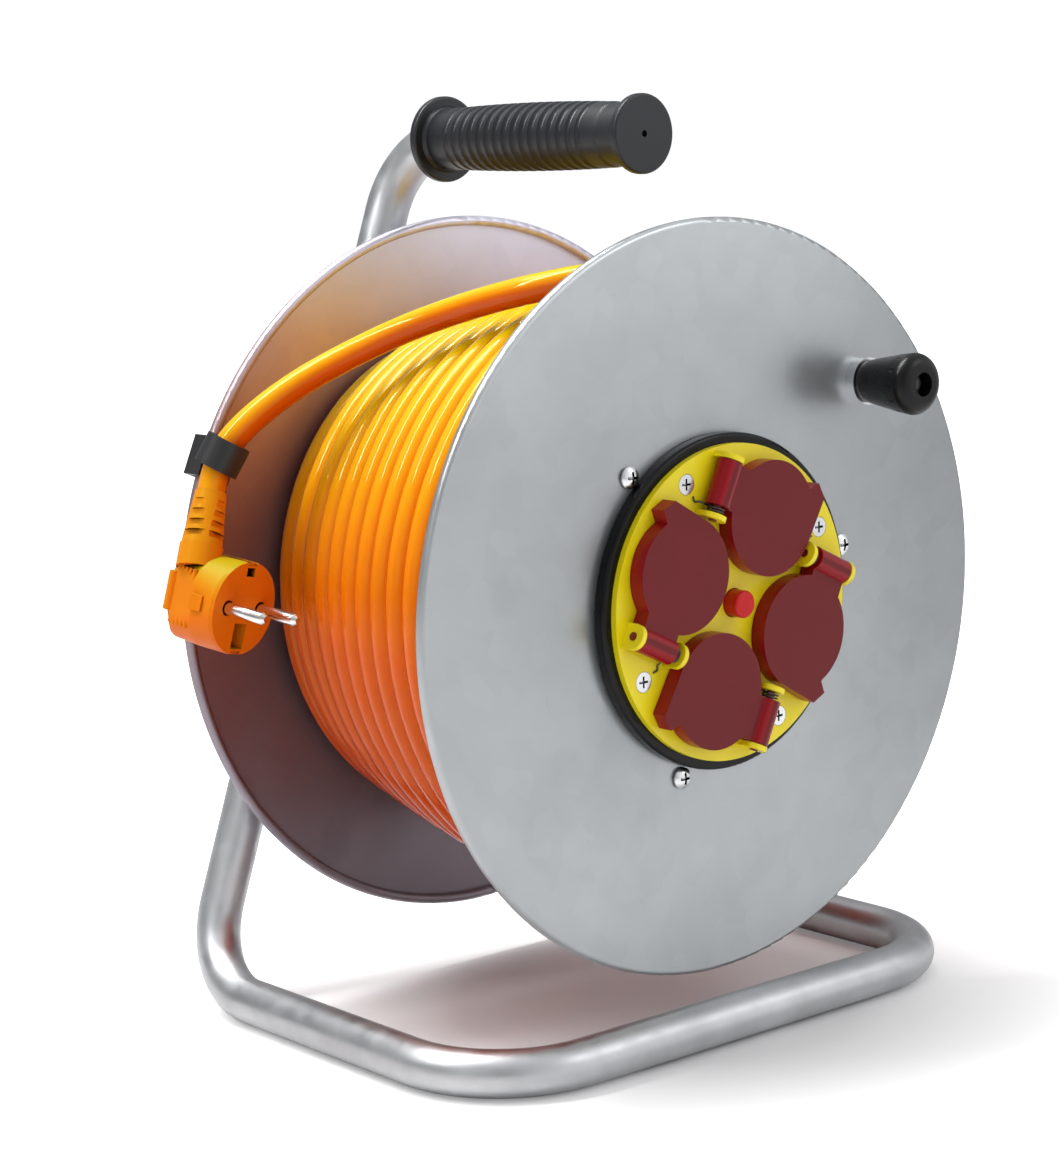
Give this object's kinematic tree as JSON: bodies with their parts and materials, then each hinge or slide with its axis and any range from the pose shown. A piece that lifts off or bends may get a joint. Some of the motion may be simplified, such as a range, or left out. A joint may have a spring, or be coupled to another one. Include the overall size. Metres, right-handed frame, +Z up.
{
  "type": "extension cord reel",
  "caption": "Steel-flanged cable drum on a bent tube stand with a ribbed grip, a crank knob, a plug parked on the rim and covered sockets in its face.",
  "frame": {"origin": "centre of the object's box at floor level, under the drum", "axes": "+Z up, the drum axis along Y, the socket face towards -Y, +X to the right as seen from the socket side"},
  "size_m": [0.3072, 0.2214, 0.3635],
  "materials": {
    "tube_steel": "zinc-plated, satin",
    "bracket_steel": "zinc-plated, satin",
    "bolt_steel": "zinc-plated",
    "screw_steel": "bright zinc",
    "front_sheet": "galvanised, mottled, satin",
    "back_sheet": "galvanised, mottled, satin",
    "core_plastic": "moulded",
    "nylon": "natural",
    "black_plastic": "fine satin",
    "knob_plastic": "satin",
    "grip_rubber": "satin",
    "seal_rubber": "matt",
    "yellow_plastic": "moulded, gloss",
    "cover_plastic": "fine texture, satin gloss",
    "red_plastic": "gloss",
    "pin_plastic": "gloss",
    "carrier_plastic": "moulded",
    "brass": "stamped",
    "spring_steel": "wire",
    "cable_jacket": "smooth jacket, gloss",
    "plug_plastic": "moulded, satin",
    "plug_metal": "nickel-plated",
    "clip_plastic": "satin"
  },
  "bodies": {
    "stand": {"stand_tube": "tube_steel", "tube_end_cap": "black_plastic", "handle_grip": "grip_rubber", "axle_bracket": "bracket_steel", "leg_bolts": "bolt_steel", "leg_nuts": "bolt_steel", "axle": "bolt_steel", "axle_nut": "bolt_steel", "thrust_washers": "bolt_steel", "retaining_ring": "bolt_steel"},
    "drum": {"front_flange": "front_sheet", "back_flange": "back_sheet", "drum_core": "core_plastic", "front_flange_screws": "screw_steel", "back_flange_screws": "screw_steel", "hub_plate": "bracket_steel", "hub_rivets": "bolt_steel", "hub_bush": "nylon", "knob_cup": "screw_steel", "knob_bolt": "bolt_steel", "knob_nut": "bolt_steel", "insert_housing": "black_plastic", "bezel_gasket": "seal_rubber", "socket_plate": "yellow_plastic", "plate_screws": "screw_steel", "contact_carrier": "carrier_plastic", "live_rail": "brass", "neutral_rail": "brass", "earth_rail": "brass", "thermal_cutout": "black_plastic", "button_spring": "spring_steel", "hinge_pins": "pin_plastic", "hinge_springs": "spring_steel", "winding_core": "cable_jacket", "winding_layer": "cable_jacket", "inner_lead": "cable_jacket", "core_grommet": "seal_rubber", "cable_gland": "black_plastic", "gland_nut": "black_plastic", "cord_lead": "cable_jacket", "cord_clip": "clip_plastic", "plug_strain_relief": "plug_plastic", "plug_body": "plug_plastic", "plug_pins": "plug_metal", "plug_earth_contacts": "plug_metal"},
    "crank": {"crank_knob": "knob_plastic"},
    "button": {"reset_button": "red_plastic"},
    "cover_1": {"cover_1": "cover_plastic", "cover_seal_1": "seal_rubber"},
    "cover_2": {"cover_2": "cover_plastic", "cover_seal_2": "seal_rubber"},
    "cover_3": {"cover_3": "cover_plastic", "cover_seal_3": "seal_rubber"},
    "cover_4": {"cover_4": "cover_plastic", "cover_seal_4": "seal_rubber"}
  },
  "joints": [
    {"name": "drum_spin", "type": "hinge", "parent": "stand", "child": "drum", "pos_m": [0, -0.0029, 0.17], "axis": [0, 1, 0], "continuous": true},
    {"name": "knob_spin", "type": "hinge", "parent": "drum", "child": "crank", "pos_m": [0.08002, -0.0979, 0.24836], "axis": [0, 1, 0], "continuous": true},
    {"name": "cover_1_hinge", "type": "hinge", "parent": "drum", "child": "cover_1", "pos_m": [-0.00969, -0.0909, 0.21667], "axis": [-0.4226, 0, -0.9063], "range_deg": [0, 110], "stiffness_Nm_per_rad": 0.012, "springref_deg": -51.57},
    {"name": "cover_2_hinge", "type": "hinge", "parent": "drum", "child": "cover_2", "pos_m": [-0.04667, -0.0909, 0.16031], "axis": [0.9063, 0, -0.4226], "range_deg": [0, 110], "stiffness_Nm_per_rad": 0.012, "springref_deg": -51.57},
    {"name": "cover_3_hinge", "type": "hinge", "parent": "drum", "child": "cover_3", "pos_m": [0.00969, -0.0909, 0.12333], "axis": [0.4226, 0, 0.9063], "range_deg": [0, 110], "stiffness_Nm_per_rad": 0.012, "springref_deg": -51.57},
    {"name": "cover_4_hinge", "type": "hinge", "parent": "drum", "child": "cover_4", "pos_m": [0.04667, -0.0909, 0.17969], "axis": [-0.9063, 0, 0.4226], "range_deg": [0, 110], "stiffness_Nm_per_rad": 0.012, "springref_deg": -51.57},
    {"name": "button_press", "type": "slide", "parent": "drum", "child": "button", "axis": [0, 1, 0], "range_m": [0, 0.002], "stiffness_N_per_m": 400, "springref_m": -0.003, "deforming": ["button_spring"]}
  ]
}
